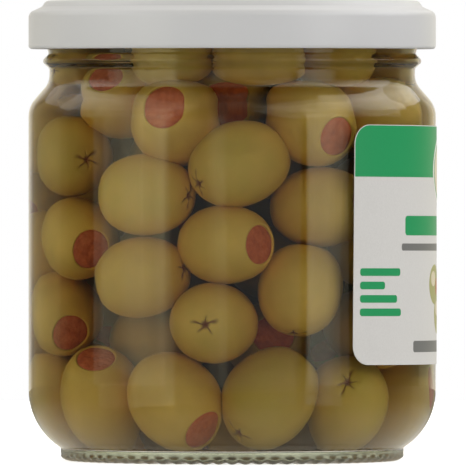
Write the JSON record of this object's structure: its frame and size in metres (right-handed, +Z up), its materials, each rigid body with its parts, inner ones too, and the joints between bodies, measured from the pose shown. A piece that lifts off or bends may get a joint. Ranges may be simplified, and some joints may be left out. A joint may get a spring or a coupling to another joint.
{
  "type": "jar of stuffed green olives",
  "caption": "Squat clear glass jar full of pimento-stuffed green olives, with a flat white twist-off metal lid and a paper wrap label.",
  "frame": {"origin": "centre of the jar's foot, on the surface it stands on", "axes": "+Z up along the jar's axis; -Y is the side with the olives in view, and the label starts to the right of it and runs round +X to the back"},
  "size_m": [0.0865, 0.0865, 0.0971],
  "materials": {
    "glass": "clear, smooth",
    "lid_enamel": "satin white enamel",
    "label_paper": "semi-gloss printed paper",
    "olive_flesh": "wet, smooth"
  },
  "bodies": {
    "root": {"jar": "glass", "lid": "lid_enamel", "label": "label_paper", "olives": "olive_flesh"}
  },
  "joints": []
}
